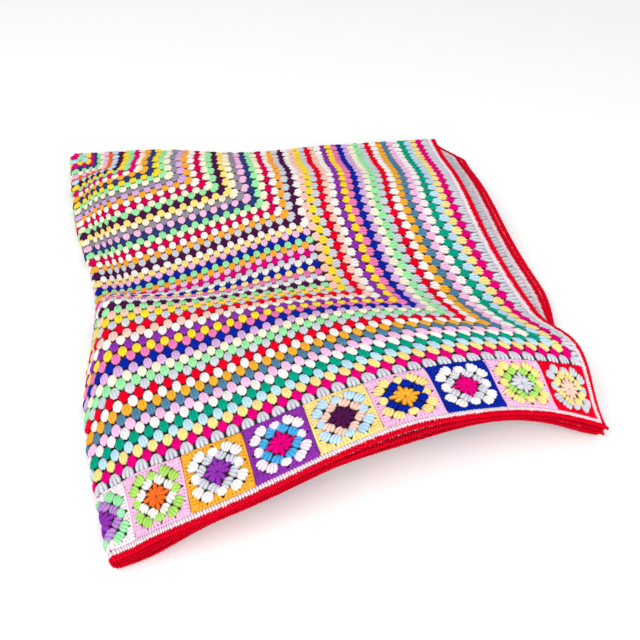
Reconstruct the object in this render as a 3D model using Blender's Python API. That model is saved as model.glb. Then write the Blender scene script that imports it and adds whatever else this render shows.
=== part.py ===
"""A crocheted granny blanket, folded in quarters and laid down in soft ridges.

The blanket is modelled as flat cloth first, in cloth coordinates: u runs across it and v along it,
both from its middle, and h is the height above the cloth's own mid surface, on its right side.
fold_cloth then folds every point of it. The first fold is at v = 0, the second one at u = 0, and the
four layers rest on the floor at z = 0, with a valley that crosses them between two ridges.
"""

import math

import bmesh
import bpy
import numpy as np

# The flat cloth, in metres
ROW = 0.010  # height of one row or round of clusters
CENTRE_ROUNDS = 43  # mitred rounds from the middle outwards
END_ROWS = 16  # straight rows that lengthen the panel at each end
OUTER_ROUNDS = 25  # mitred rounds outside those
SQUARE = 0.080  # side of a granny square
EDGING = 0.014  # width of the crocheted edging
THICK = 0.003  # thickness of the crochet
SEAM_GAP = 0.0003  # between two pieces

PANEL_HALF_WIDTH = (CENTRE_ROUNDS + OUTER_ROUNDS) * ROW
PANEL_HALF_LENGTH = PANEL_HALF_WIDTH + END_ROWS * ROW
STRIP_END = PANEL_HALF_LENGTH + SQUARE
HALF_WIDTH = PANEL_HALF_WIDTH + EDGING
HALF_LENGTH = STRIP_END + EDGING

# The folds
TURN = 0.0032  # radius of the first fold, half the distance from layer to layer
STACK = 3 * TURN  # from the middle of the stack to its outer layers
SECOND_TURN = 2 * TURN  # the second fold goes round the doubled cloth

# The lie of the folded cloth: how far its four edges are from the origin, at even steps along each
LEFT_EDGE = (-0.397, -0.395, -0.353, -0.343, -0.336)  # from the back to the front
RIGHT_EDGE = (0.347, 0.327, 0.305, 0.313, 0.319)
BACK_EDGE = (0.442, 0.442, 0.352)  # from the left to the right
FRONT_EDGE = (-0.458, -0.446, -0.416, -0.414, -0.444)
LEFT_TUCK = (0.030, 0.038, 0.026, -0.004, 0.014)  # the left fold bends in by this, back to front
LEFT_TUCK_WIDTH = 0.16  # share of the width that it takes up
RIGHT_SPREAD = (0.036, 0.024, 0.014, 0.008, -0.004)  # more room for the columns on the right
BACK_DRAW = (-0.010, 0.022, 0.078, 0.058, 0.036)  # the back edge is drawn forward, left to right
BACK_DRAW_LENGTH = 0.32  # share of the length that this reaches
MIDDLE_PULL = 0.018  # to the left, in the valley
FRONT_STRETCH = 0.030  # the front ridge pulls the squares this far to the right
CENTRE_SHIFT = (-0.0201, 0.0014)  # brings the middle of the whole to the origin

# The top layer's ridges in sections from the left fold to the right edges, at even steps. Each has
# its places as shares of the length from the back edge, and its heights over the flat stack.
SECTION_COLUMNS = "back_crest back_height valley valley_height front_crest front_height lip_height"
SECTIONS = (
    (0.21, 0.012, 0.46, 0.000, 0.58, 0.066, 0.002),
    (0.17, 0.050, 0.52, 0.002, 0.70, 0.054, 0.042),
    (0.36, 0.050, 0.61, 0.022, 0.82, 0.066, 0.048),
    (0.42, 0.046, 0.73, 0.022, 0.86, 0.054, 0.002),
)
LEFT_SLOPE = 0.10  # share of the width over which the ridges rise from the left fold
SLACK = 0.010  # a ridge lower than this leaves the bottom layer flat
BOTTOM_SHARE = {"left": 0.60, "right": 0.92}  # of its height above SLACK, in the bottom layer

# How far the lower layers' free edges stand out from under the top one
SIDE_STEP = 0.050
SIDE_STEPS = (0.0, 0.67, 1.0, 0.85)  # share of it in each layer, from the top one down
SIDE_STEP_END = 0.86  # share of the length at which the side edges meet again
FRONT_STEPS = (0.0, -0.004, -0.011, -0.018)  # of each layer, from the top one down
FRONT_TUCK = (0.5, 0.9, 0.7, 1.2, 0.2)  # size of the front steps, from the left to the right
FRONT_WAVE = 0.003
LIP_LIFT = 0.005  # of the top layer's front edge, at LIP_LIFT_PLACE of the width
LIP_LIFT_PLACE = 0.56

CELL = 0.040  # size of a mesh face where the cloth is straight
TURN_STEPS = 6  # mesh faces around each fold
PLAN_STEPS = (35, 47)  # steps of the table of plan_shares


def ease(t):
    t = np.clip(t, 0.0, 1.0)
    return t * t * (3.0 - 2.0 * t)


def smooth_through(values, t):
    """A smooth curve through values, which stand at even steps of t from 0 to 1."""
    values = np.asarray(values)
    padded = np.concatenate(([2 * values[0] - values[1]], values, [2 * values[-1] - values[-2]]))
    place = np.clip(t, 0.0, 1.0) * (len(values) - 1)
    start = np.minimum(place.astype(int), len(values) - 2)
    f = place - start
    a, b, c, d = (padded[start + k] for k in range(4))
    return b + 0.5 * f * (c - a + f * (2 * a - 5 * b + 4 * c - d + f * (3 * (b - c) + d - a)))


def ridge_height(across, along):
    """Rise of the top layer over the flat stack, at shares of the folded width and length."""
    names = SECTION_COLUMNS.split()
    at = {n: smooth_through(c, across) for n, c in zip(names, zip(*SECTIONS), strict=True)}
    back_rise = at["back_height"] * ease(along / at["back_crest"])
    back_fall = ease((along - at["back_crest"]) / (at["valley"] - at["back_crest"]))
    front_rise = ease((along - at["valley"]) / (at["front_crest"] - at["valley"]))
    front_fall = ease((along - at["front_crest"]) / (1.0 - at["front_crest"]))
    height = back_rise + (at["valley_height"] - at["back_height"]) * back_fall
    height += (at["front_height"] - at["valley_height"]) * front_rise
    height += (at["lip_height"] - at["front_height"]) * front_fall
    return height * np.sin(0.5 * math.pi * np.clip(across / LEFT_SLOPE, 0.0, 1.0))


def plan_shares():
    """Tables of the way from edge to edge that each bit of cloth covers, seen from above.

    Cloth on a slope covers less of the floor, so the ridges draw the rows around them together.
    """
    across = np.linspace(0.0, 1.0, PLAN_STEPS[0] + 1)[:, None]
    along = np.linspace(0.0, 1.0, PLAN_STEPS[1] + 1)[None, :]
    height = ridge_height(across + 0 * along, along + 0 * across)
    tables = []
    for axis, length in ((0, HALF_WIDTH), (1, HALF_LENGTH)):
        slope = np.diff(height, axis=axis) * PLAN_STEPS[axis] / length
        cover = np.cumsum(1.0 / np.sqrt(1.0 + slope**2), axis=axis)
        start = np.zeros_like(np.take(cover, [0], axis=axis))
        cover = np.concatenate((start, cover), axis=axis)
        tables.append(cover / np.take(cover, [-1], axis=axis))
    return tables


ACROSS_SHARE, ALONG_SHARE = plan_shares()


def look_up(table, across, along):
    x = np.clip(across, 0.0, 1.0) * PLAN_STEPS[0]
    y = np.clip(along, 0.0, 1.0) * PLAN_STEPS[1]
    i = np.minimum(x.astype(int), PLAN_STEPS[0] - 1)
    j = np.minimum(y.astype(int), PLAN_STEPS[1] - 1)
    f, g = x - i, y - j
    near = (1 - f) * table[i, j] + f * table[i + 1, j]
    far = (1 - f) * table[i, j + 1] + f * table[i + 1, j + 1]
    return (1 - g) * near + g * far


def turn_over(distance, height, radius):
    """Fold a strip over at distance 0: its new distance from the fold, and its height."""
    angle = np.clip(distance / radius, -0.5 * math.pi, 0.5 * math.pi)
    straight = np.maximum(np.abs(distance) - 0.5 * math.pi * radius, 0.0)
    return radius + straight - (radius + height) * np.cos(angle), (radius + height) * np.sin(angle)


def fold_cloth(u, v, h):
    """World position of the cloth's points (u, v, h), as an array with a row for each."""
    middle = turn_over(u, turn_over(v, 0.0, TURN)[1], SECOND_TURN)[1]
    below = np.clip(0.5 - 0.5 * middle / STACK, 0.0, 1.0)  # 0 in the top layer, 1 in the bottom one
    back, height = turn_over(v, h, TURN)
    side, height = turn_over(u, height, SECOND_TURN)
    across, along = side / HALF_WIDTH, back / HALF_LENGTH
    parted = ease(along / 0.12) * ease((SIDE_STEP_END - along) / 0.22)
    layer = 3.0 * below
    side_step = SIDE_STEP * np.interp(layer, (0, 1, 2, 3), SIDE_STEPS)
    side_step *= parted * np.clip(across, 0.0, 1.0) ** 3
    front_step = np.interp(layer, (0, 1, 2, 3), FRONT_STEPS) * smooth_through(FRONT_TUCK, across)
    front_step += FRONT_WAVE * np.sin(11.0 * across + 7.0 * below) * below
    front_step *= np.clip(along, 0.0, 1.0) ** 8 * ease(across / 0.2)
    across += side_step / HALF_WIDTH
    along += front_step / HALF_LENGTH

    a, b = look_up(ACROSS_SHARE, across, along), look_up(ALONG_SHARE, across, along)
    x = (1.0 - a) * smooth_through(LEFT_EDGE, along) + a * smooth_through(RIGHT_EDGE, along)
    y = (1.0 - b) * smooth_through(BACK_EDGE, across) + b * smooth_through(FRONT_EDGE, across)
    x += smooth_through(LEFT_TUCK, along) * (1.0 - ease(across / LEFT_TUCK_WIDTH))
    x += smooth_through(RIGHT_SPREAD, along) * np.clip(across, 0.0, 1.0) ** 4
    y -= smooth_through(BACK_DRAW, across) * (1.0 - ease(along / BACK_DRAW_LENGTH))
    pull = ease((along - 0.25) / 0.2) * ease((0.9 - along) / 0.12)
    x -= MIDDLE_PULL * pull * np.sin(math.pi * np.clip(across, 0.0, 1.0) ** 2)
    bow = np.sin(math.pi * np.clip(across, 0.0, 1.0) ** 2.6)
    x += FRONT_STRETCH * bow * ease((along - 0.78) / 0.14)
    x += (across - np.clip(across, 0.0, 1.0)) * HALF_WIDTH
    y -= (along - np.clip(along, 0.0, 1.0)) * HALF_LENGTH
    x, y = x + CENTRE_SHIFT[0], y + CENTRE_SHIFT[1]

    top = ridge_height(across, along)
    over = np.maximum(top - SLACK, 0.0)
    share = BOTTOM_SHARE["left"] + (BOTTOM_SHARE["right"] - BOTTOM_SHARE["left"]) * across
    bottom = share * over**2 / (over + 0.5 * SLACK)
    lift = LIP_LIFT * np.exp(-(((across - LIP_LIFT_PLACE) / 0.07) ** 2)) * ease((along - 0.85) / 0.15)
    z = STACK + 0.5 * THICK + height + (1.0 - below) * top + below * bottom
    z += lift * (1.0 - below) ** 4
    return np.stack((x, y, z), axis=-1)


def panel_lines(limit, radius):
    """Places of the mesh lines from -limit to limit, close together around the fold at 0."""
    bend = 0.5 * math.pi * radius
    steps = math.ceil((limit - bend) / CELL)
    straight = np.linspace(bend, limit, steps + 1)[1:]
    return np.concatenate((-straight[::-1], np.linspace(-bend, bend, TURN_STEPS + 1), straight))


U_LINES = panel_lines(PANEL_HALF_WIDTH, SECOND_TURN)
V_LINES = panel_lines(PANEL_HALF_LENGTH, TURN)
STRIP_LINES = np.linspace(PANEL_HALF_LENGTH + SEAM_GAP, STRIP_END, 3)


def sheet_of_cloth(name, u_lines, v_lines, colour, rim_only=False):
    """One piece of the cloth: cut flat, given its thickness, and then folded."""
    cells = (len(u_lines) - 1, len(v_lines) - 1)
    bm = bmesh.new()
    bmesh.ops.create_grid(bm, x_segments=cells[0], y_segments=cells[1], size=0.5)
    for vert in bm.verts:
        i = round((vert.co.x + 0.5) * cells[0])
        j = round((vert.co.y + 0.5) * cells[1])
        vert.co = (u_lines[i], v_lines[j], -0.5 * THICK)
    if rim_only:
        inner = [f for f in bm.faces if not any(v.is_boundary for v in f.verts)]
        bmesh.ops.delete(bm, geom=inner, context="FACES")
    upper = bmesh.ops.extrude_face_region(bm, geom=bm.faces[:])["geom"]
    for vert in (g for g in upper if isinstance(g, bmesh.types.BMVert)):
        vert.co.z += THICK
    bmesh.ops.recalc_face_normals(bm, faces=bm.faces[:])
    bmesh.ops.reverse_faces(bm, faces=bm.faces[:])  # fold_cloth mirrors v
    flat = np.array([vert.co for vert in bm.verts], dtype=float)
    for vert, place in zip(bm.verts, fold_cloth(*flat.T), strict=True):
        vert.co = place
    mesh = bpy.data.meshes.new(name)
    bm.to_mesh(mesh)
    bm.free()
    mesh.shade_smooth()
    mesh.materials.append(yarn(name, colour))
    piece = bpy.data.objects.new(name, mesh)
    bpy.data.collections["granny_square_blanket"].objects.link(piece)
    return piece


def yarn(name, colour):
    material = bpy.data.materials.new(name + "_yarn")
    material.use_nodes = True
    shader = material.node_tree.nodes["Principled BSDF"]
    shader.inputs["Base Color"].default_value = (*colour, 1.0)
    shader.inputs["Roughness"].default_value = 0.9
    return material


def build_panel():
    sheet_of_cloth("granny_panel", U_LINES, V_LINES, (0.80, 0.55, 0.42))


def build_square_strips():
    """The two rows of joined granny squares: one ends layers 1 and 4, the other layers 2 and 3."""
    sheet_of_cloth("square_strip_outer", U_LINES, STRIP_LINES, (0.72, 0.35, 0.60))
    sheet_of_cloth("square_strip_inner", U_LINES, -STRIP_LINES[::-1], (0.45, 0.55, 0.75))


def build_edging():
    side = np.array([PANEL_HALF_WIDTH + SEAM_GAP, HALF_WIDTH])
    end = np.array([STRIP_LINES[1], STRIP_END + SEAM_GAP, HALF_LENGTH])
    u_lines = np.concatenate((-side[::-1], U_LINES[1:-1], side))
    v_lines = np.concatenate((-end[::-1], V_LINES, end))
    sheet_of_cloth("crochet_edging", u_lines, v_lines, (0.70, 0.01, 0.04), rim_only=True)


def main():
    for old in list(bpy.data.objects):
        bpy.data.objects.remove(old)
    collection = bpy.data.collections.new("granny_square_blanket")
    bpy.context.scene.collection.children.link(collection)
    build_panel()
    build_square_strips()
    build_edging()


main()
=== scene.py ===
"""Looks of the folded granny blanket: every cluster of yarn is laid on the folded cloth.

Cloth coordinates are those of the flat blanket in metres, from its middle: u across it, v along
it, and h above its own surface on the right side. fold_cloth folds them as the solids are folded.
"""

import math

import bpy
import numpy as np
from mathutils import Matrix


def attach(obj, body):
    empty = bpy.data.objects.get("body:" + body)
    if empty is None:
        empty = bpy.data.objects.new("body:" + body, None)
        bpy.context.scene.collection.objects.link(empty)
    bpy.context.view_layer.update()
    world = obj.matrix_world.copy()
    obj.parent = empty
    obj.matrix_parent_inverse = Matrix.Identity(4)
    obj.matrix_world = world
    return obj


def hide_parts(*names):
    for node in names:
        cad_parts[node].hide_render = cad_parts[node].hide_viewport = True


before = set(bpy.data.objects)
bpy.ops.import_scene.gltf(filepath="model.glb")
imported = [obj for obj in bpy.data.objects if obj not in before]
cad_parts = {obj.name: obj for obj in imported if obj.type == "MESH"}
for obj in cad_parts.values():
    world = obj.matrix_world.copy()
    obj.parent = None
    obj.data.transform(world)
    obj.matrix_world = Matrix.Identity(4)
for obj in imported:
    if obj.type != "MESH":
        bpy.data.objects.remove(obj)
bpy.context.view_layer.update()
rng = np.random.default_rng(5)

# ---------------------------------------------------------------------------------------------
# The folded cloth, as in the solids
# ---------------------------------------------------------------------------------------------

ROW = 0.010  # height of one row or round of clusters
CENTRE_ROUNDS = 43  # mitred rounds from the middle outwards
END_ROWS = 16  # straight rows that lengthen the panel at each end
OUTER_ROUNDS = 25  # mitred rounds outside those
SQUARE = 0.080  # side of a granny square
EDGING = 0.014  # width of the crocheted edging
THICK = 0.003  # thickness of the crochet

PANEL_HALF_WIDTH = (CENTRE_ROUNDS + OUTER_ROUNDS) * ROW
PANEL_HALF_LENGTH = PANEL_HALF_WIDTH + END_ROWS * ROW
STRIP_END = PANEL_HALF_LENGTH + SQUARE
HALF_WIDTH = PANEL_HALF_WIDTH + EDGING
HALF_LENGTH = STRIP_END + EDGING

TURN = 0.0032  # radius of the first fold
STACK = 3 * TURN  # from the middle of the stack to its outer layers
SECOND_TURN = 2 * TURN  # the second fold goes round the doubled cloth

# How far the folded cloth's four edges are from the origin, at even steps along each
LEFT_EDGE = (-0.397, -0.395, -0.353, -0.343, -0.336)  # from the back to the front
RIGHT_EDGE = (0.347, 0.327, 0.305, 0.313, 0.319)
BACK_EDGE = (0.442, 0.442, 0.352)  # from the left to the right
FRONT_EDGE = (-0.458, -0.446, -0.416, -0.414, -0.444)
LEFT_TUCK = (0.030, 0.038, 0.026, -0.004, 0.014)  # how far the left fold bends in
LEFT_TUCK_WIDTH = 0.16  # share of the width that it takes up
RIGHT_SPREAD = (0.036, 0.024, 0.014, 0.008, -0.004)  # more room for the columns on the right
RIGHT_SPREAD_POWER = 4
BACK_DRAW = (-0.010, 0.022, 0.078, 0.058, 0.036)  # the back edge is drawn forward
BACK_DRAW_LENGTH = 0.32  # share of the length that this reaches
MIDDLE_PULL = 0.018  # to the left, in the valley
PULL_START, PULL_END = (0.25, 0.20), (0.90, 0.12)  # shares of the length, and their runs
PULL_SKEW = 2  # moves its middle to the right
FRONT_STRETCH = 0.030  # the front ridge pulls the squares to the right
STRETCH_START = (0.78, 0.14)
STRETCH_SKEW = 2.6
CENTRE_SHIFT = (-0.0201, 0.0014)  # brings the middle of the whole to the origin

# The top layer's ridges in sections from the left fold to the right edges, at even steps. Each
# has its places as shares of the length from the back edge, and its heights over the flat stack.
SECTION_COLUMNS = "back_crest back_height valley valley_height front_crest front_height lip_height"
SECTIONS = (
    (0.21, 0.012, 0.46, 0.000, 0.58, 0.066, 0.002),
    (0.17, 0.050, 0.52, 0.002, 0.70, 0.054, 0.042),
    (0.36, 0.050, 0.61, 0.022, 0.82, 0.066, 0.048),
    (0.42, 0.046, 0.73, 0.022, 0.86, 0.054, 0.002),
)
LEFT_SLOPE = 0.10  # share of the width over which the ridges rise from the left fold
SLACK = 0.010  # a ridge lower than this leaves the bottom layer flat
BOTTOM_SHARE = {"left": 0.60, "right": 0.92}  # of its height above SLACK, in the bottom layer

# How far the lower layers' free edges stand out from under the top one
SIDE_STEP = 0.050
SIDE_STEPS = (0.0, 0.67, 1.0, 0.85)  # share of it in each layer, from the top one down
SIDE_STEP_END = 0.86  # share of the length at which the side edges meet again
PARTING, MEETING = 0.12, 0.22  # shares of the length over which they part and meet
SIDE_STEP_POWER = 3  # the steps grow towards the right edge
FRONT_STEPS = (0.0, -0.004, -0.011, -0.018)  # of each layer, from the top one down
FRONT_TUCK = (0.5, 0.9, 0.7, 1.2, 0.2)  # size of the front steps, from left to right
FRONT_STEP_POWER = 8
FRONT_STEP_START = 0.2  # share of the width over which the front steps begin
FRONT_WAVE = 0.003
FRONT_WAVE_TURNS = (11.0, 7.0)  # in radians, across the width and from layer to layer
LIP_LIFT = 0.005  # of the top layer's front edge
LIP_LIFT_PLACE = 0.56  # share of the width
LIP_LIFT_WIDTH = 0.07
LIP_LIFT_START, LIP_LIFT_RUN = 0.85, 0.15  # shares of the length
TURN_STEPS = 8  # mesh faces around each fold
PLAN_STEPS = (35, 47)  # steps of the table of plan_shares


def ease(t):
    t = np.clip(t, 0.0, 1.0)
    return t * t * (3.0 - 2.0 * t)


def smooth_through(values, t):
    """A smooth curve through values, which stand at even steps of t from 0 to 1."""
    values = np.asarray(values)
    padded = np.concatenate(([2 * values[0] - values[1]], values, [2 * values[-1] - values[-2]]))
    place = np.clip(t, 0.0, 1.0) * (len(values) - 1)
    start = np.minimum(place.astype(int), len(values) - 2)
    f = place - start
    a, b, c, d = (padded[start + k] for k in range(4))
    return b + 0.5 * f * (c - a + f * (2 * a - 5 * b + 4 * c - d + f * (3 * (b - c) + d - a)))


def ridge_height(across, along):
    """Rise of the top layer over the flat stack, at shares of the folded width and length."""
    names = SECTION_COLUMNS.split()
    at = {n: smooth_through(c, across) for n, c in zip(names, zip(*SECTIONS), strict=True)}
    back_rise = at["back_height"] * ease(along / at["back_crest"])
    back_fall = ease((along - at["back_crest"]) / (at["valley"] - at["back_crest"]))
    front_rise = ease((along - at["valley"]) / (at["front_crest"] - at["valley"]))
    front_fall = ease((along - at["front_crest"]) / (1.0 - at["front_crest"]))
    height = back_rise + (at["valley_height"] - at["back_height"]) * back_fall
    height += (at["front_height"] - at["valley_height"]) * front_rise
    height += (at["lip_height"] - at["front_height"]) * front_fall
    return height * np.sin(0.5 * math.pi * np.clip(across / LEFT_SLOPE, 0.0, 1.0))


def plan_shares():
    """Tables of the way from edge to edge that each bit of cloth covers, seen from above."""
    across = np.linspace(0.0, 1.0, PLAN_STEPS[0] + 1)[:, None]
    along = np.linspace(0.0, 1.0, PLAN_STEPS[1] + 1)[None, :]
    height = ridge_height(across + 0 * along, along + 0 * across)
    tables = []
    for axis, length in ((0, HALF_WIDTH), (1, HALF_LENGTH)):
        slope = np.diff(height, axis=axis) * PLAN_STEPS[axis] / length
        cover = np.cumsum(1.0 / np.sqrt(1.0 + slope**2), axis=axis)
        start = np.zeros_like(np.take(cover, [0], axis=axis))
        cover = np.concatenate((start, cover), axis=axis)
        tables.append(cover / np.take(cover, [-1], axis=axis))
    return tables


ACROSS_SHARE, ALONG_SHARE = plan_shares()


def look_up(table, across, along):
    x = np.clip(across, 0.0, 1.0) * PLAN_STEPS[0]
    y = np.clip(along, 0.0, 1.0) * PLAN_STEPS[1]
    i = np.minimum(x.astype(int), PLAN_STEPS[0] - 1)
    j = np.minimum(y.astype(int), PLAN_STEPS[1] - 1)
    f, g = x - i, y - j
    near = (1 - f) * table[i, j] + f * table[i + 1, j]
    far = (1 - f) * table[i, j + 1] + f * table[i + 1, j + 1]
    return (1 - g) * near + g * far


def turn_over(distance, height, radius):
    """Fold a strip over at distance 0: its new distance from the fold, and its height."""
    angle = np.clip(distance / radius, -0.5 * math.pi, 0.5 * math.pi)
    straight = np.maximum(np.abs(distance) - 0.5 * math.pi * radius, 0.0)
    return radius + straight - (radius + height) * np.cos(angle), (radius + height) * np.sin(angle)


def fold_cloth(u, v, h):
    """World position of the cloth's points (u, v, h), as an array with a row for each."""
    middle = turn_over(u, turn_over(v, 0.0, TURN)[1], SECOND_TURN)[1]
    below = np.clip(0.5 - 0.5 * middle / STACK, 0.0, 1.0)  # 0 in the top layer, 1 in the last
    back, height = turn_over(v, h, TURN)
    side, height = turn_over(u, height, SECOND_TURN)
    across, along = side / HALF_WIDTH, back / HALF_LENGTH

    parted = ease(along / PARTING) * ease((SIDE_STEP_END - along) / MEETING)
    layer = 3.0 * below
    side_step = SIDE_STEP * np.interp(layer, (0, 1, 2, 3), SIDE_STEPS)
    side_step *= parted * np.clip(across, 0.0, 1.0) ** SIDE_STEP_POWER
    front_step = np.interp(layer, (0, 1, 2, 3), FRONT_STEPS) * smooth_through(FRONT_TUCK, across)
    wave = FRONT_WAVE_TURNS[0] * across + FRONT_WAVE_TURNS[1] * below
    front_step += FRONT_WAVE * np.sin(wave) * below
    front_step *= np.clip(along, 0.0, 1.0) ** FRONT_STEP_POWER * ease(across / FRONT_STEP_START)
    across += side_step / HALF_WIDTH
    along += front_step / HALF_LENGTH

    a, b = look_up(ACROSS_SHARE, across, along), look_up(ALONG_SHARE, across, along)
    x = (1.0 - a) * smooth_through(LEFT_EDGE, along) + a * smooth_through(RIGHT_EDGE, along)
    y = (1.0 - b) * smooth_through(BACK_EDGE, across) + b * smooth_through(FRONT_EDGE, across)
    x += smooth_through(LEFT_TUCK, along) * (1.0 - ease(across / LEFT_TUCK_WIDTH))
    x += smooth_through(RIGHT_SPREAD, along) * np.clip(across, 0.0, 1.0) ** RIGHT_SPREAD_POWER
    y -= smooth_through(BACK_DRAW, across) * (1.0 - ease(along / BACK_DRAW_LENGTH))
    pull = ease((along - PULL_START[0]) / PULL_START[1])
    pull *= ease((PULL_END[0] - along) / PULL_END[1])
    x -= MIDDLE_PULL * pull * np.sin(math.pi * np.clip(across, 0.0, 1.0) ** PULL_SKEW)
    bow = np.sin(math.pi * np.clip(across, 0.0, 1.0) ** STRETCH_SKEW)
    x += FRONT_STRETCH * bow * ease((along - STRETCH_START[0]) / STRETCH_START[1])
    x += (across - np.clip(across, 0.0, 1.0)) * HALF_WIDTH
    y -= (along - np.clip(along, 0.0, 1.0)) * HALF_LENGTH
    x, y = x + CENTRE_SHIFT[0], y + CENTRE_SHIFT[1]

    top = ridge_height(across, along)
    over = np.maximum(top - SLACK, 0.0)
    share = BOTTOM_SHARE["left"] + (BOTTOM_SHARE["right"] - BOTTOM_SHARE["left"]) * across
    bottom = share * over**2 / (over + 0.5 * SLACK)
    lift = LIP_LIFT * np.exp(-(((across - LIP_LIFT_PLACE) / LIP_LIFT_WIDTH) ** 2))
    lift *= ease((along - LIP_LIFT_START) / LIP_LIFT_RUN)
    z = STACK + 0.5 * THICK + height + (1.0 - below) * top + below * bottom
    z += lift * (1.0 - below) ** 4  # in the top layer more than in the ones below
    return np.stack((x, y, z), axis=-1)


FLAT_STEP = 0.0004  # for slopes of the cloth


def on_cloth(u, v, h):
    """Points h above the cloth's middle surface, square to it."""
    here = fold_cloth(u, v, 0.0 * h)
    along_u = fold_cloth(u + FLAT_STEP, v, 0.0 * h) - here
    along_v = fold_cloth(u, v + FLAT_STEP, 0.0 * h) - here
    normal = np.cross(along_v, along_u)
    normal /= np.linalg.norm(normal, axis=-1, keepdims=True)
    return here + h[..., None] * normal


# ---------------------------------------------------------------------------------------------
# Yarn colours, and the painted shade of the gaps between clusters, as red, green and blue from 0
# to 255
# ---------------------------------------------------------------------------------------------

YARN_AND_SHADE_COLOURS = {
    "white": (244, 239, 234),
    "pink_white": (247, 228, 236),
    "cream": (247, 238, 210),
    "silver": (206, 207, 216),
    "dark_grey": (148, 140, 156),
    "pale_yellow": (250, 222, 140),
    "soft_yellow": (250, 222, 124),
    "yellow": (250, 218, 52),
    "mustard": (240, 172, 52),
    "amber": (250, 170, 58),
    "orange": (238, 108, 36),
    "peach": (249, 202, 184),
    "light_pink": (244, 188, 224),
    "candy_pink": (238, 124, 182),
    "magenta": (224, 0, 122),
    "crimson": (212, 0, 82),
    "red": (232, 0, 38),
    "lilac": (184, 134, 206),
    "pale_lilac": (214, 172, 220),
    "purple": (140, 50, 168),
    "plum": (76, 20, 70),
    "navy": (46, 62, 122),
    "royal_blue": (8, 36, 158),
    "slate_blue": (82, 128, 158),
    "sky_blue": (76, 168, 222),
    "light_blue": (188, 218, 240),
    "teal": (6, 158, 128),
    "mint": (154, 231, 166),
    "lime": (172, 220, 104),
    # Not a yarn: painted shade, dark where the lower layers lie in shadow between the clusters
    "painted_gap_shade": (40, 26, 34),
}

# From the middle of the blanket outwards
CENTRE_COLOURS = """
    white magenta mint light_blue yellow magenta navy mint cream light_pink orange light_blue plum
    yellow mint magenta cream amber navy yellow mint cream dark_grey pale_lilac amber white crimson
    cream mint plum soft_yellow cream dark_grey light_pink navy mint cream crimson white amber
    silver plum white
""".split()
END_COLOURS = """
    pale_yellow light_pink royal_blue mint amber light_pink magenta silver white royal_blue
    pale_yellow candy_pink silver white plum mint
""".split()
OUTER_COLOURS = """
    peach yellow silver red peach white purple yellow candy_pink royal_blue pale_lilac cream mint
    silver red white mustard slate_blue light_pink white teal light_blue pale_yellow magenta silver
""".split()
# The squares from the left fold outwards, each from its centre to its outer round
SQUARE_COLOURS = """
    purple lilac mint pink_white
    orange white lime light_pink
    purple silver white mustard
    magenta sky_blue pink_white purple
    plum peach light_blue pale_yellow
    mustard royal_blue pale_yellow light_pink
    magenta silver white royal_blue
    silver lime pale_yellow light_pink
    peach pale_yellow silver red
""".split()
SQUARE_ROUNDS = 4
SQUARES_A_SIDE = 8

assert len(CENTRE_COLOURS) == CENTRE_ROUNDS
assert len(END_COLOURS) == END_ROWS
assert len(OUTER_COLOURS) == OUTER_ROUNDS


def linear(colour):
    c = np.asarray(colour, dtype=float) / 255.0
    return np.where(c <= 0.04045, c / 12.92, ((c + 0.055) / 1.055) ** 2.4)


# ---------------------------------------------------------------------------------------------
# Stitches: s runs along the row, t away from the blanket's middle, h off the cloth, in metres
# ---------------------------------------------------------------------------------------------

MM = 0.001
BASE_CAP, TIP_CAP = 0.5, 0.55  # how far a tube's two ends bulge, for their radius
ARCH_START, ARCH_RUN = 0.16, 0.62  # the stretch of a half wave that a post rises over
NECK, SWELL, TIP = 0.58, 0.42, 0.82  # a post's radius: at its base, gained above it, at its tip
SWELL_RATE = 1.5


def tube(path, radii, sides, flat):
    """A tapered tube along path, rounded at both ends: its points, faces and yarn coordinates.

    flat is its height for its width.
    """
    path = np.asarray(path, dtype=float)
    tangent = np.gradient(path, axis=0)
    tangent /= np.linalg.norm(tangent, axis=1, keepdims=True)
    side = np.cross(tangent, (0.0, 0.0, 1.0))
    side /= np.linalg.norm(side, axis=1, keepdims=True)
    up = np.cross(side, tangent) * flat
    angle = np.arange(sides) * 2 * math.pi / sides
    cosine, sine = np.cos(angle)[None, :, None], np.sin(angle)[None, :, None]
    ring = cosine * side[:, None] + sine * up[:, None]
    points = (path[:, None] + np.asarray(radii)[:, None, None] * ring).reshape(-1, 3)
    base_end = path[0] - BASE_CAP * radii[0] * tangent[0]
    tip_end = path[-1] + TIP_CAP * radii[-1] * tangent[-1]
    points = np.vstack((points, base_end, tip_end))
    faces = []
    rings = len(path)
    last = (rings - 1) * sides
    for j in range(sides):
        k = (j + 1) % sides
        for i in range(0, last, sides):
            faces.append((i + j, i + k, i + sides + k))
            faces.append((i + j, i + sides + k, i + sides + j))
        faces.append((last + j, last + k, rings * sides + 1))
        faces.append((k, j, rings * sides))
    length = np.concatenate(([0.0], np.cumsum(np.linalg.norm(np.diff(path, axis=0), axis=1))))
    wrap = np.stack((np.repeat(length, sides), np.tile(angle, rings) / (2 * math.pi)), axis=1)
    wrap = np.vstack((wrap, (-radii[0], 0.0), (length[-1] + radii[-1], 0.0)))
    return points, np.asarray(faces), wrap


def gather(parts):
    """One template out of several tubes."""
    points, faces, wraps, start = [], [], [], 0
    for p, f, w in parts:
        points.append(p)
        faces.append(f + start)
        wraps.append(w)
        start += len(p)
    return np.vstack(points), np.vstack(faces), np.vstack(wraps)


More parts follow.
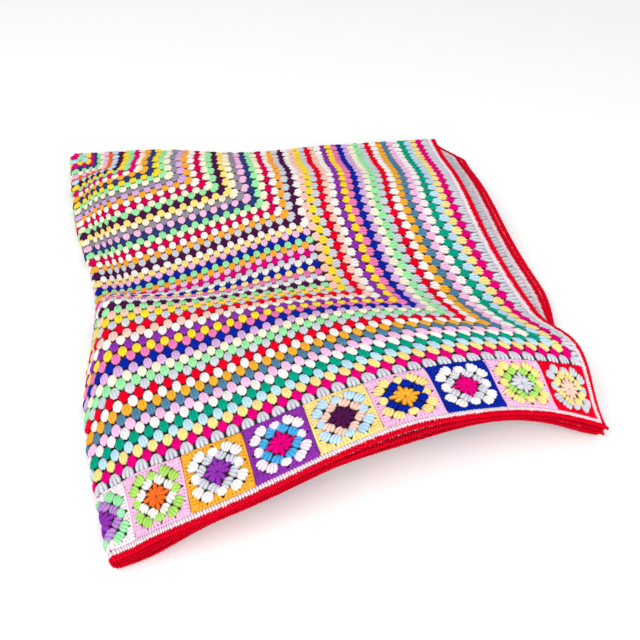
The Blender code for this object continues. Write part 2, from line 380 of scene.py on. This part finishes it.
def cluster(posts, radius, rise, sides=6, rings=4, flat=0.8, mirror=1):
    """Posts side by side, each from its base to its tip as (s, t, s, t, bow) in millimetres."""
    f = np.linspace(0.0, 1.0, rings)
    tubes = []
    for base_s, base_t, tip_s, tip_t, bow in posts:
        s = mirror * (base_s + (tip_s - base_s) * f + bow * np.sin(math.pi * f))
        t = base_t + (tip_t - base_t) * f
        h = rise * np.sin(math.pi * (ARCH_START + ARCH_RUN * f))
        swell = np.sin(0.5 * math.pi * np.minimum(SWELL_RATE * f, 1.0))
        radii = radius * (NECK + SWELL * swell)
        radii[-1] *= TIP
        tubes.append(tube(MM * np.stack((s, t, h), axis=1), MM * radii, sides, flat))
    return gather(tubes)


def fan(root, low, spread, high, arc, bow=0.0, posts=3):
    """Posts side by side: root and spread are their reach at the bases and at the tips."""
    side = np.linspace(-1.0, 1.0, posts)
    return [(k * root, low, k * spread, high - arc * k * k, k * bow) for k in side]


PANEL_FAN = fan(root=1.1, low=-9.4, spread=2.8, high=6.4, arc=1.5, bow=2.3)
PANEL_CLUSTER = cluster(PANEL_FAN, radius=3.0, rise=2.4)
SIDE_FAN = fan(root=1.6, low=-8.6, spread=5.0, high=5.8, arc=2.2, bow=3.6)
SIDE_CLUSTER = cluster(SIDE_FAN, radius=4.3, rise=2.4, flat=0.7)
LAST_FAN = fan(root=1.2, low=-8.8, spread=5.4, high=4.9, arc=0.4, bow=1.7)
LAST_CLUSTER = cluster(LAST_FAN, radius=3.3, rise=2.0)
LAST_SIDE_FAN = fan(root=2.0, low=-8.8, spread=9.0, high=4.8, arc=0.3, bow=2.0)
LAST_SIDE_CLUSTER = cluster(LAST_SIDE_FAN, radius=4.4, rise=2.0, flat=0.7)
BACK_FAN = fan(root=4.0, low=-6.6, spread=5.2, high=5.8, arc=1.0, bow=1.0)
BETWEEN_CLUSTER = cluster(BACK_FAN, radius=4.6, rise=0.2, sides=5, rings=3, flat=0.6)
BOTTOM_FAN = fan(root=3.2, low=-6.6, spread=3.8, high=5.8, arc=0.0, posts=2)
BOTTOM_CLUSTER = cluster(BOTTOM_FAN, radius=5.2, rise=0.2, sides=4, rings=3, flat=0.6)


def square_clusters(**detail):
    """The kinds of cluster in a granny square."""
    petal = fan(root=1.2, low=1.5, spread=7.2, high=17.6, arc=6.2)
    bar = fan(root=2.8, low=-6.4, spread=5.0, high=4.4, arc=1.5, bow=0.8)
    single = fan(root=1.4, low=-5.8, spread=3.2, high=4.4, arc=1.1, bow=1.6)
    lobe = fan(root=1.8, low=-7.4, spread=4.2, high=5.0, arc=1.2, bow=1.6)
    fill = fan(root=1.4, low=-8.6, spread=8.0, high=2.4, arc=0.0, bow=0.6, posts=4)
    corner = [
        (-3.0, -6.4, -3.8, 2.4, 0),
        (0.0, -6.8, 1.4, 2.4, 0),
        (2.8, -7.0, 6.4, 2.4, 0),
        (4.6, -6.0, 10.2, 1.8, 0),
    ]
    rim = [(-39.4, 0.0, 39.4, 0.0, 0)]
    return {
        "rim": cluster(rim, radius=2.3, rise=0.8, sides=5, rings=9),
        "petal": cluster(petal, radius=3.6, rise=1.6, **detail),
        "bar": cluster(bar, radius=3.4, rise=2.0, **detail),
        "single": cluster(single, radius=3.3, rise=2.8, **detail),
        "lobe": cluster(lobe, radius=3.3, rise=2.8, **detail),
        "fill": cluster(fill, radius=2.8, rise=1.0, **detail),
        "right_corner": cluster(corner, radius=3.2, rise=0.9, **detail),
        "left_corner": cluster(corner, radius=3.2, rise=0.9, mirror=-1, **detail),
    }


FINE_CLUSTERS = square_clusters(sides=6, rings=4)
COARSE_CLUSTERS = square_clusters(sides=5, rings=3, flat=0.6)

# One quarter of a square, its side along x and its outer edge at y = 40: the round, the kind of
# cluster, its place in millimetres and its turn in degrees clockwise. Those with a turn of about
# 45 degrees are placed by their distance along the corner's diagonal and across it.
QUARTER = (
    (1, "petal", 0.0, 0.0, 0),
    (2, "bar", -8.0, 20.8, 45),
    (2, "bar", 8.0, 20.8, 45),
    (3, "single", 0.0, 27.8, 0),
    (3, "lobe", -7.2, 33.0, 45),
    (3, "lobe", 7.2, 33.0, 45),
    (4, "fill", -10.5, 35.6, 0),
    (4, "fill", 10.5, 35.6, 0),
    (4, "left_corner", -26.8, 35.6, 0),
    (4, "right_corner", 26.8, 35.6, 0),
    (4, "rim", 0.0, 38.1, 0),
)
LOBE_SPLAY = 11  # degrees by which a corner's two lobes lean apart

SWAY = 0.07  # how far a cluster is turned at random, in radians
SQUARE_SWAY = 0.10
UNEVEN = 0.03  # random share of a cluster's width and length
UNEVEN_RISE = 0.0002
UNEVEN_TINT = 0.035
FLOOR_GAP = 0.0002  # under the lowest stitches
SQUASH_START = 0.004  # the floor flattens stitches that would go below it by up to this
SQUASH = 0.1  # share of their height that they keep


class Stitches:
    """Stitches of one piece of the scene, kept until they are all laid on the cloth at once."""

    def __init__(self, name):
        self.name = name
        self.sets = []

    def add(self, template, places, colours, sway=SWAY):
        """places has rows of u, v, the direction of t as an angle from +u, and a width."""
        if len(places):
            self.sets.append((template, np.asarray(places, dtype=float), colours, sway))

    def build(self, material, body="root"):
        points, faces, wraps, colours, start = [], [], [], [], 0
        for (shape, template_faces, wrap), places, names, sway in self.sets:
            count, size = len(places), len(shape)
            wobble = rng.normal(0.0, 1.0, (count, 4))
            turn = places[:, 2] + sway * wobble[:, 0]
            t_axis = np.stack((np.cos(turn), np.sin(turn)), axis=1)
            s_axis = np.stack((t_axis[:, 1], -t_axis[:, 0]), axis=1)
            s = shape[None, :, 0] * places[:, 3, None] * (1 + UNEVEN * wobble[:, 1, None])
            t = shape[None, :, 1] * (1 + UNEVEN * wobble[:, 2, None])
            u = places[:, 0, None] + s * s_axis[:, 0, None] + t * t_axis[:, 0, None]
            v = places[:, 1, None] + s * s_axis[:, 1, None] + t * t_axis[:, 1, None]
            h = shape[None, :, 2] + UNEVEN_RISE * wobble[:, 3, None]
            laid = on_cloth(u.ravel(), v.ravel(), h.ravel())
            flattened = SQUASH * np.maximum(laid[:, 2] + SQUASH_START, 0)
            laid[:, 2] = np.maximum(laid[:, 2], FLOOR_GAP + flattened)
            points.append(laid)
            first = start + np.arange(count)[:, None, None] * size
            faces.append((template_faces[None, :, ::-1] + first).reshape(-1, 3))
            shift = np.repeat(rng.random((count, 1)), size, 0) * (1.0, 0.0)
            wraps.append(np.tile(wrap, (count, 1)) + shift)
            tint = np.array([linear(YARN_AND_SHADE_COLOURS[n]) for n in names])
            tint *= 1 + UNEVEN_TINT * rng.normal(0.0, 1.0, (count, 1))
            colours.append(np.repeat(np.clip(tint, 0, 1), size, 0))
            start += count * size
        piece = mesh_piece(self.name, np.vstack(points), np.vstack(faces), material)
        set_colours(piece.data, np.vstack(colours))
        set_wraps(piece.data, np.vstack(wraps))
        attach(piece, body)
        return piece


def mesh_piece(name, points, faces, material):
    mesh = bpy.data.meshes.new(name)
    mesh.vertices.add(len(points))
    mesh.vertices.foreach_set("co", points.astype(np.float32).ravel())
    mesh.loops.add(faces.size)
    mesh.loops.foreach_set("vertex_index", faces.astype(np.int32).ravel())
    mesh.polygons.add(len(faces))
    mesh.polygons.foreach_set("loop_start", np.arange(len(faces), dtype=np.int32) * faces.shape[1])
    mesh.update(calc_edges=True)
    mesh.validate()
    mesh.shade_smooth()
    mesh.materials.append(material)
    piece = bpy.data.objects.new(name, mesh)
    bpy.context.scene.collection.objects.link(piece)
    return piece


def set_colours(mesh, colours):
    attribute = mesh.color_attributes.new("yarn_colour", "FLOAT_COLOR", "POINT")
    rgba = np.ones((len(colours), 4), dtype=np.float32)
    rgba[:, :3] = colours
    attribute.data.foreach_set("color", rgba.ravel())


def set_wraps(mesh, wraps):
    """Yarn coordinates as a UV map: metres along the yarn, and turns around it."""
    layer = mesh.uv_layers.new(name="yarn")
    corner = np.empty(len(mesh.loops), dtype=np.int32)
    mesh.loops.foreach_get("vertex_index", corner)
    layer.data.foreach_set("uv", wraps[corner].astype(np.float32).ravel())


# ---------------------------------------------------------------------------------------------
# Where the clusters go
# ---------------------------------------------------------------------------------------------

PITCH = 0.020  # of the clusters in the rows across the blanket
SIDE_PITCH = 0.026  # of the clusters along the sides
SIDE_WIDTH = 1.46  # of a cluster on the sides
MARGIN = 0.08  # of the layers in between that can be seen at the free edges
FIRST_FOLD_REACH = 0.016  # clusters round the first fold still count as the top layer's
SECOND_FOLD_REACH = 0.034  # and these, round the second one
UP, DOWN, RIGHT, LEFT = 0.5 * math.pi, -0.5 * math.pi, 0.0, math.pi


def end_row(v, count):
    """Clusters of one row across the blanket, at both ends."""
    u = (np.arange(count) - 0.5 * (count - 1)) * PITCH
    return [(x, v, UP, 1.0) for x in u] + [(x, -v, DOWN, 1.0) for x in u]


def side_column(u, half_length):
    """Clusters of one round along the blanket, on both sides."""
    v = np.arange(half_length - 0.5 * ROW, -0.5 * SIDE_PITCH, -SIDE_PITCH)
    v = np.concatenate((v, -v[v > 0.3 * SIDE_PITCH]))  # one at the middle isn't mirrored
    rows = [(u, y, RIGHT, SIDE_WIDTH) for y in v]
    return rows + [(-u, y, LEFT, SIDE_WIDTH) for y in v]


def mitred_round(number, extra_length):
    """Clusters of the round with that number, which has as many clusters across as its number."""
    reach = (number - 0.5) * ROW
    return end_row(reach + extra_length, number) + side_column(reach, reach + extra_length)


def sort_by_layer(places):
    """Places in the top layer, in the bottom one, and those at the free edges in between."""
    u, v = places[:, 0], places[:, 1]
    near, upper = v > -FIRST_FOLD_REACH, u > -SECOND_FOLD_REACH
    at_edge = (np.abs(u) > PANEL_HALF_WIDTH - MARGIN) | (v < MARGIN - PANEL_HALF_LENGTH)
    return near & upper, near & ~upper, ~near & at_edge


def lay_rows(stitches, places, colour, top=PANEL_CLUSTER, top_side=SIDE_CLUSTER):
    """Lay one round or pair of rows: stitches has the top, the bottom and those in between."""
    places = np.asarray(places)
    on_top, bottom, between = sort_by_layer(places)
    sides = on_top & (places[:, 3] > 1)
    piece, bottom_piece, between_piece = stitches
    laid = (
        (piece, top, on_top & ~sides),
        (bottom_piece, BOTTOM_CLUSTER, bottom),
        (between_piece, BETWEEN_CLUSTER, between),
    )
    for target, shape, chosen in laid:
        target.add(shape, places[chosen], [colour] * int(chosen.sum()))
    places = places[sides] * (1, 1, 1, 1 / SIDE_WIDTH)  # top_side is already that wide
    piece.add(top_side, places, [colour] * len(places))


def square_places(centre_u, centre_v):
    """Clusters of one granny square: for each kind, its places with their rounds' numbers."""
    places = {}
    for number, kind, x, y, turn in QUARTER:
        lean = math.copysign(LOBE_SPLAY, x) if kind == "lobe" and turn else 0
        for quarter in range(4):
            angle = UP - math.radians(turn) + quarter * UP
            du = x * math.sin(angle) + y * math.cos(angle)
            dv = -x * math.cos(angle) + y * math.sin(angle)
            place = (centre_u + MM * du, centre_v + MM * dv, angle - math.radians(lean), 1.0)
            places.setdefault(kind, []).append((*place, number))
    return places


# ---------------------------------------------------------------------------------------------
# Materials
# ---------------------------------------------------------------------------------------------

PLY_LENGTH = 0.0042  # of one turn of the yarn's plies
PLIES = 3
PLY_RELIEF = 0.35  # of the plies, for that of the loose fibres


def math_node(tree, operation, *values):
    """A sum on values, each of which is a fractional number or the output of another node."""
    node = tree.nodes.new("ShaderNodeMath")
    node.operation = operation
    for socket, value in zip(node.inputs, values):
        if isinstance(value, float):
            socket.default_value = value
        else:
            tree.links.new(value, socket)
    return node.outputs[0]


def noise_node(tree, scale, detail):
    """Noise that stays in place on its mesh."""
    place = tree.nodes.new("ShaderNodeTexCoord")
    noise = tree.nodes.new("ShaderNodeTexNoise")
    noise.inputs["Scale"].default_value = scale
    noise.inputs["Detail"].default_value = detail
    tree.links.new(place.outputs["Object"], noise.inputs["Vector"])
    return noise.outputs["Fac"]


def shade_yarn_colour(tree, value, darkest, lightest):
    """The mesh's yarn colour as the base colour, from darkest at value 0 to lightest at 1."""
    colour = tree.nodes.new("ShaderNodeVertexColor")
    colour.layer_name = "yarn_colour"
    shade = tree.nodes.new("ShaderNodeMapRange")
    shade.inputs["To Min"].default_value = darkest
    shade.inputs["To Max"].default_value = lightest
    tint = tree.nodes.new("ShaderNodeVectorMath")
    tint.operation = "SCALE"
    tree.links.new(value, shade.inputs["Value"])
    tree.links.new(colour.outputs["Color"], tint.inputs[0])
    tree.links.new(shade.outputs["Result"], tint.inputs["Scale"])
    tree.links.new(tint.outputs["Vector"], tree.nodes["Principled BSDF"].inputs["Base Color"])


def plain_material(name, colour, roughness):
    material = bpy.data.materials.new(name)
    material.use_nodes = True
    shader = material.node_tree.nodes["Principled BSDF"]
    shader.inputs["Base Color"].default_value = (*linear(colour), 1.0)
    shader.inputs["Roughness"].default_value = roughness
    return material


def yarn_material(name):
    """Soft plied yarn: twisted plies and loose fibres, with painted shade that makes it darker
    where two posts meet.
    """
    material = plain_material(name, YARN_AND_SHADE_COLOURS["white"], roughness=0.82)
    tree = material.node_tree
    shader = tree.nodes["Principled BSDF"]
    shader.inputs["Specular IOR Level"].default_value = 0.03
    place = tree.nodes.new("ShaderNodeUVMap")
    place.uv_map = "yarn"
    parts = tree.nodes.new("ShaderNodeSeparateXYZ")
    tree.links.new(place.outputs["UV"], parts.inputs[0])
    along, around = parts.outputs["X"], parts.outputs["Y"]

    turned = math_node(tree, "MULTIPLY", along, 2 * math.pi / PLY_LENGTH)
    plies = math_node(tree, "MULTIPLY_ADD", around, 2 * math.pi * PLIES, turned)
    plies = math_node(tree, "SINE", plies)
    fibres = noise_node(tree, scale=1400, detail=3)
    relief = math_node(tree, "MULTIPLY_ADD", plies, PLY_RELIEF, fibres)
    bump = tree.nodes.new("ShaderNodeBump")
    bump.inputs["Strength"].default_value = 0.8
    bump.inputs["Distance"].default_value = 0.0009
    tree.links.new(relief, bump.inputs["Height"])
    tree.links.new(bump.outputs["Normal"], shader.inputs["Normal"])

    # Painted shade: the yarn colour is darkened to about half on each tube's two sides, in the
    # creases where posts meet, and lightened a little on its top and underside
    height = math_node(tree, "SINE", math_node(tree, "MULTIPLY", around, 2 * math.pi))
    height = math_node(tree, "ABSOLUTE", height)
    shade_yarn_colour(tree, height, darkest=0.52, lightest=1.04)
    return material


def ground_material():
    """Painted shade between the clusters, dark where the stitches' undersides lie in shadow, and
    yarn colours under the edging: coloured from the mesh and mottled at random.
    """
    material = plain_material("painted_gap_shade_sheet", YARN_AND_SHADE_COLOURS["painted_gap_shade"], roughness=0.95)
    mottle = noise_node(material.node_tree, scale=220, detail=2)
    shade_yarn_colour(material.node_tree, mottle, darkest=0.6, lightest=1.2)
    return material


# ---------------------------------------------------------------------------------------------
# The pieces
# ---------------------------------------------------------------------------------------------

yarn = yarn_material("crochet_yarn")

EDGE_STITCH = 0.0036  # pitch along the edging
RED_ROW = 0.0023  # width of each of its two red rows
WHITE_ROW = EDGING - 2 * RED_ROW
EDGE_SEAM = 0.0005  # half the width over which the ground changes colour
GROUND_INSET = 0.003  # of the ground sheet's edge from the blanket's
GROUND_CELL = 0.020
GROUND_HALF_THICK = 0.0005


def ground_lines(half, radius):
    """Lines of the ground's grid: close together at the fold and at the edging's rows."""
    bend = 0.5 * math.pi * radius
    inner = half - EDGING - EDGE_SEAM
    straight = np.linspace(bend, inner, math.ceil((inner - bend) / GROUND_CELL) + 1)[1:]
    insets = (EDGING - EDGE_SEAM, 2 * RED_ROW + EDGE_SEAM, 2 * RED_ROW - EDGE_SEAM, GROUND_INSET)
    straight = np.concatenate((straight, half - np.array(insets)))
    return np.concatenate((-straight[::-1], np.linspace(-bend, bend, TURN_STEPS + 1), straight))


def ground_sheet():
    """A thin sheet on the cloth's middle surface, under and between the clusters: painted shade in
    the gaps between them, and the edging's yarn colours under its rows.
    """
    u = ground_lines(HALF_WIDTH, SECOND_TURN)
    v = ground_lines(HALF_LENGTH, TURN)
    grid_u, grid_v = (g.ravel() for g in np.meshgrid(u, v, indexing="ij"))
    upper = on_cloth(grid_u, grid_v, np.full(grid_u.size, GROUND_HALF_THICK))
    lower = on_cloth(grid_u, grid_v, np.full(grid_u.size, -GROUND_HALF_THICK))
    index = np.arange(grid_u.size).reshape(len(u), len(v))
    a, b, c, d = index[:-1, :-1], index[1:, :-1], index[1:, 1:], index[:-1, 1:]
    top = np.stack((a, d, c, b), axis=-1).reshape(-1, 4)
    rim = np.concatenate((index[0, :], index[1:, -1], index[-1, -2::-1], index[-2:0:-1, 0]))
    after = np.roll(rim, -1)
    wall = np.stack((rim, rim + grid_u.size, after + grid_u.size, after), axis=1)
    faces = np.vstack((top, top[:, ::-1] + grid_u.size, wall))
    piece = mesh_piece("blanket_ground", np.vstack((upper, lower)), faces, ground_material())
    # Painted shade in the gaps inside the edging; under the edging's rows, the pink-white and red
    # of their yarn
    inset = np.minimum(HALF_WIDTH - np.abs(grid_u), HALF_LENGTH - np.abs(grid_v))
    row = (inset < EDGING).astype(int) + (inset < 2 * RED_ROW)
    tints = np.array([linear(YARN_AND_SHADE_COLOURS[name]) for name in ("painted_gap_shade", "pink_white", "red")])[row]
    set_colours(piece.data, np.vstack((tints, tints)))
    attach(piece, "root")
    return piece


def build_panel():
    centre, ends = Stitches("centre_rounds"), Stitches("end_rows")
    middle, outer = Stitches("middle_rounds"), Stitches("outer_rounds")
    hidden = (Stitches("rows_below"), Stitches("rows_between"))
    for number, colour in enumerate(CENTRE_COLOURS, 1):
        lay_rows((centre, *hidden), mitred_round(number, 0.0), colour)
    for number, colour in enumerate(END_COLOURS):
        count = CENTRE_ROUNDS - 1 + number % 2
        v = CENTRE_ROUNDS * ROW + (number + 0.5) * ROW
        lay_rows((ends, *hidden), end_row(v, count), colour)
    last = CENTRE_ROUNDS + OUTER_ROUNDS
    for number, colour in enumerate(OUTER_COLOURS, CENTRE_ROUNDS + 1):
        piece = middle if number <= CENTRE_ROUNDS + OUTER_ROUNDS // 2 else outer
        shapes = (LAST_CLUSTER, LAST_SIDE_CLUSTER) if number == last else ()
        lay_rows((piece, *hidden), mitred_round(number, END_ROWS * ROW), colour, *shapes)
    return [s.build(yarn) for s in (centre, ends, middle, outer, *hidden)]


def build_squares():
    pieces = []
    for name, sign in (("squares_outer", 1), ("squares_inner", -1)):
        stitches = Stitches(name)
        for position in range(-SQUARES_A_SIDE, SQUARES_A_SIDE + 1):
            start = abs(position) * SQUARE_ROUNDS
            colours = SQUARE_COLOURS[start : start + SQUARE_ROUNDS]
            centre_v = sign * (PANEL_HALF_LENGTH + 0.5 * SQUARE)
            for kind, places in square_places(position * SQUARE, centre_v).items():
                places = np.array(places)
                fine = (places[:, 0] > -SECOND_FOLD_REACH) & (places[:, 1] > 0)
                for chosen, shapes in ((fine, FINE_CLUSTERS), (~fine, COARSE_CLUSTERS)):
                    names = [colours[int(k) - 1] for k in places[chosen, 4]]
                    sway = 0.0 if kind == "rim" else SQUARE_SWAY
                    stitches.add(shapes[kind], places[chosen, :4], names, sway)
        pieces.append(stitches.build(yarn))
    return pieces


WRONG_SIDE_RISE = 0.6  # in millimetres, more than on the right side


def single_crochet(low, high, lean, radius, rise, wrong_side):
    """One leg of a stitch, from low to high, leaning sideways, in millimetres."""
    rise = -rise - WRONG_SIDE_RISE if wrong_side else rise
    return cluster([(-0.5 * lean, low, 0.5 * lean, high, 0.0)], radius, rise, sides=5, rings=3)


def edge_places(inset, shift):
    """Stitches of one row round the blanket, at a distance in from its outer edge."""
    half_u, half_v = HALF_WIDTH - inset, HALF_LENGTH - inset
    places = []
    for half, other, vertical in ((half_u, half_v, True), (half_v, half_u, False)):
        count = round(2 * half / EDGE_STITCH)
        run = (np.arange(count) + 0.5 + shift) / count * 2 * half - half
        for x in run:
            if vertical:
                places += [(x, other, UP, 1.0), (-x, -other, DOWN, 1.0)]
            else:
                places += [(other, x, RIGHT, 1.0), (-other, -x, LEFT, 1.0)]
    return places


def build_edging():
    """Each row's stitches, colour, distance from the outer edge, and legs for single_crochet."""
    white, red = Stitches("edging_white"), Stitches("edging_red")
    rows = (
        (white, "pink_white", EDGING - 0.5 * WHITE_ROW, (-5.2, 3.8, 2.0, 2.3, 0.8)),
        (red, "red", 1.5 * RED_ROW, (-4.4, 1.0, 1.4, 1.9, 1.9)),
        (red, "red", 0.5 * RED_ROW, (-2.2, 0.8, 2.4, 2.3, 1.0)),
    )
    for number, (stitches, colour, inset, size) in enumerate(rows):
        places = np.array(edge_places(inset, 0.5 * number))
        face_up = places[:, 0] * places[:, 1] > 0  # the other layers show their wrong side
        for chosen, wrong_side in ((face_up, False), (~face_up, True)):
            leg = single_crochet(*size, wrong_side)
            stitches.add(leg, places[chosen], [colour] * int(chosen.sum()))
    return [white.build(yarn), red.build(yarn)]


ground = ground_sheet()
panel_rows = build_panel()
squares_outer, squares_inner = build_squares()
edging_white, edging_red = build_edging()

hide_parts("granny_panel")
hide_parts("square_strip_outer")
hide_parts("square_strip_inner")
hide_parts("crochet_edging")

# ---------------------------------------------------------------------------------------------
# Floor, light and camera
# ---------------------------------------------------------------------------------------------


def add_floor():
    size = 4.0
    points = np.array([(-size, -size, 0), (size, -size, 0), (size, size, 0), (-size, size, 0)])
    paint = plain_material("floor", (246, 246, 246), roughness=0.9)
    floor = mesh_piece("floor", points, np.array([[0, 1, 2, 3]]), paint)


def add_area_light(name, place, size, power):
    light = bpy.data.lights.new(name, "AREA")
    light.shape = "SQUARE"
    light.size = size
    light.energy = power
    lamp = bpy.data.objects.new(name, light)
    lamp.location = place
    direction = np.array(place)
    yaw = math.atan2(direction[0], -direction[1])
    lamp.rotation_euler = (math.atan2(math.hypot(*direction[:2]), direction[2]), 0.0, yaw)
    bpy.context.scene.collection.objects.link(lamp)


def add_world(strength):
    world = bpy.data.worlds.new("studio")
    world.use_nodes = True
    background = world.node_tree.nodes["Background"]
    background.inputs["Color"].default_value = (1.0, 1.0, 1.0, 1.0)
    background.inputs["Strength"].default_value = strength
    bpy.context.scene.world = world


CAMERA_AIM = (-0.023, -0.162, 0.039)
CAMERA_YAW = math.radians(15)
CAMERA_PITCH = math.radians(45)
CAMERA_DISTANCE = 0.975
CAMERA_LENS = 36.6  # on a 36 mm sensor


def add_camera():
    forward = np.array(
        (
            math.sin(CAMERA_YAW) * math.cos(CAMERA_PITCH),
            math.cos(CAMERA_YAW) * math.cos(CAMERA_PITCH),
            -math.sin(CAMERA_PITCH),
        )
    )
    data = bpy.data.cameras.new("camera")
    data.lens = CAMERA_LENS
    data.sensor_width = 36
    camera = bpy.data.objects.new("camera", data)
    camera.location = np.array(CAMERA_AIM) - CAMERA_DISTANCE * forward
    camera.rotation_euler = (math.pi / 2 - CAMERA_PITCH, 0.0, -CAMERA_YAW)
    bpy.context.scene.collection.objects.link(camera)
    bpy.context.scene.camera = camera


bpy.context.scene.view_settings.view_transform = "Standard"
add_floor()
add_world(strength=0.80)
add_area_light("key", place=(-1.6, -0.6, 2.4), size=1.8, power=32)
add_area_light("fill", place=(0.6, -2.4, 0.9), size=2.0, power=36)
add_camera()
